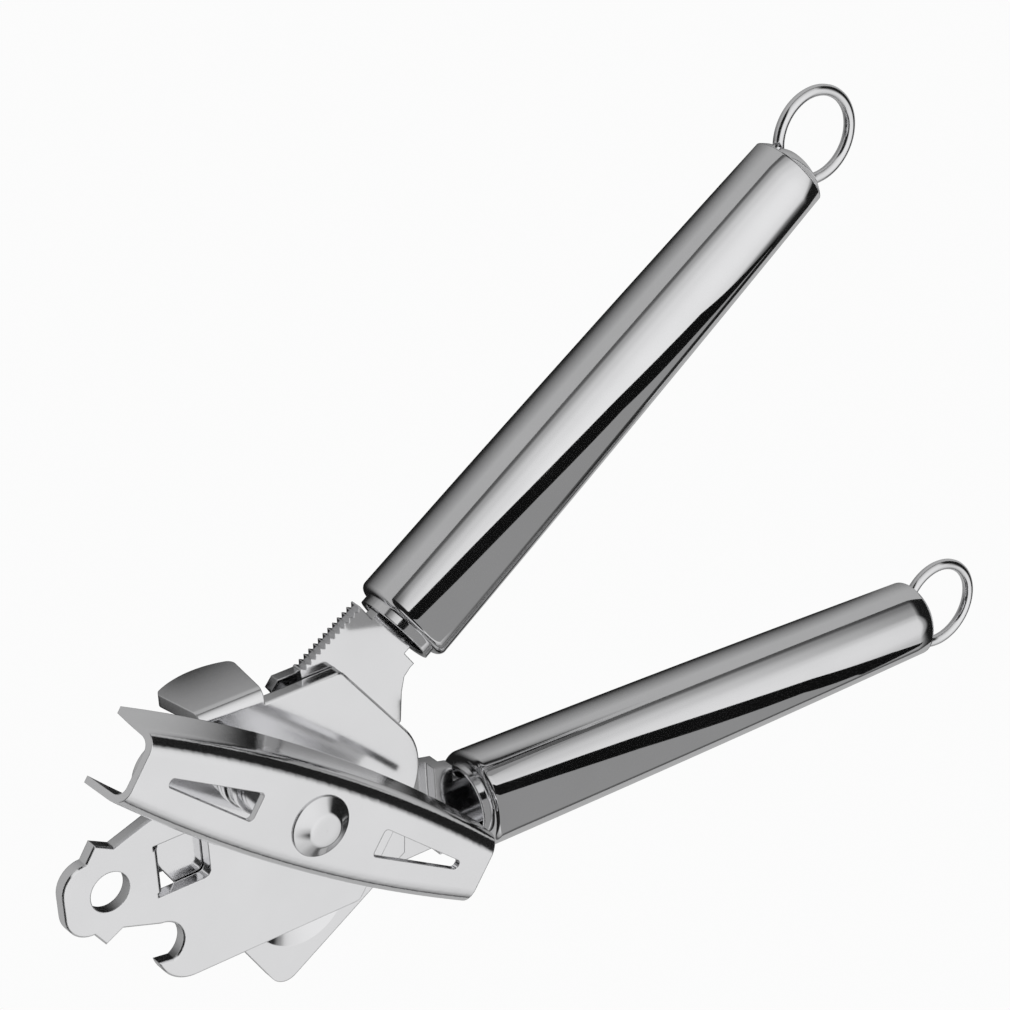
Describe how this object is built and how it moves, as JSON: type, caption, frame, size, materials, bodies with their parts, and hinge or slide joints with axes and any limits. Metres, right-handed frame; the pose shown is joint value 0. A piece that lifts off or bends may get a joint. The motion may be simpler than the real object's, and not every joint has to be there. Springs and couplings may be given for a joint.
{
  "type": "manual can opener",
  "caption": "Lever can opener with turning key, toothed feed wheel, cutting wheel, cap lifter hooks, tubular handles and hanging rings.",
  "frame": {"origin": "centre of the hanging hole in the nose, on the front face of the nose plate", "axes": "+X from the nose towards the handles, +Z the plate normal on the turning key's side, +Y towards the side flange and the upper handle"},
  "size_m": [0.1973, 0.1279, 0.035],
  "materials": {
    "plate_steel": "polished sheet",
    "handle_steel": "mirror-polished tube",
    "wheel_steel": "ground and hardened",
    "rivet_steel": "turned and polished",
    "ring_wire": "bright wire"
  },
  "bodies": {
    "lower_lever": {"nose_plate": "plate_steel", "back_plate": "plate_steel", "lever_spacer": "plate_steel", "pivot_rivet": "rivet_steel", "pivot_washer": "rivet_steel", "feed_bushing": "rivet_steel", "thrust_washer": "rivet_steel", "lower_handle_tube": "handle_steel", "lower_mouth_collar": "handle_steel", "lower_end_cap": "handle_steel", "lower_ring_eye": "ring_wire"},
    "upper_lever": {"cutter_plate": "plate_steel", "cutter_stud": "rivet_steel", "cutter_washer": "rivet_steel", "upper_handle_tube": "handle_steel", "upper_mouth_collar": "handle_steel", "upper_end_cap": "handle_steel", "upper_ring_eye": "ring_wire"},
    "cutter": {"cutting_wheel": "wheel_steel"},
    "key_drive": {"turning_key": "plate_steel", "feed_shaft": "rivet_steel", "feed_wheel": "wheel_steel", "key_sleeve": "rivet_steel", "key_cap": "rivet_steel"},
    "upper_ring": {"upper_hang_ring": "ring_wire"},
    "lower_ring": {"lower_hang_ring": "ring_wire"}
  },
  "joints": [
    {"name": "handle_pivot", "type": "hinge", "parent": "lower_lever", "child": "upper_lever", "pos_m": [0.0449, -0.0009, -0.0036], "axis": [0, 0, 1], "range_deg": [-31.3, 3]},
    {"name": "key_turn", "type": "hinge", "parent": "lower_lever", "child": "key_drive", "pos_m": [0.0276, 0.0107, 0], "axis": [0, 0, 1], "continuous": true},
    {"name": "cutter_spin", "type": "hinge", "parent": "upper_lever", "child": "cutter", "pos_m": [0.03185, -0.01129, -0.00865], "axis": [0, 0, 1], "continuous": true},
    {"name": "upper_ring_swing", "type": "hinge", "parent": "upper_lever", "child": "upper_ring", "pos_m": [0.14404, 0.08113, -0.0036], "axis": [-0.5519, 0.8339, 0], "range_deg": [-30, 30]},
    {"name": "lower_ring_swing", "type": "hinge", "parent": "lower_lever", "child": "lower_ring", "pos_m": [0.17206, -0.01675, -0.0036], "axis": [0.0262, 0.9997, 0], "range_deg": [-30, 30]}
  ]
}
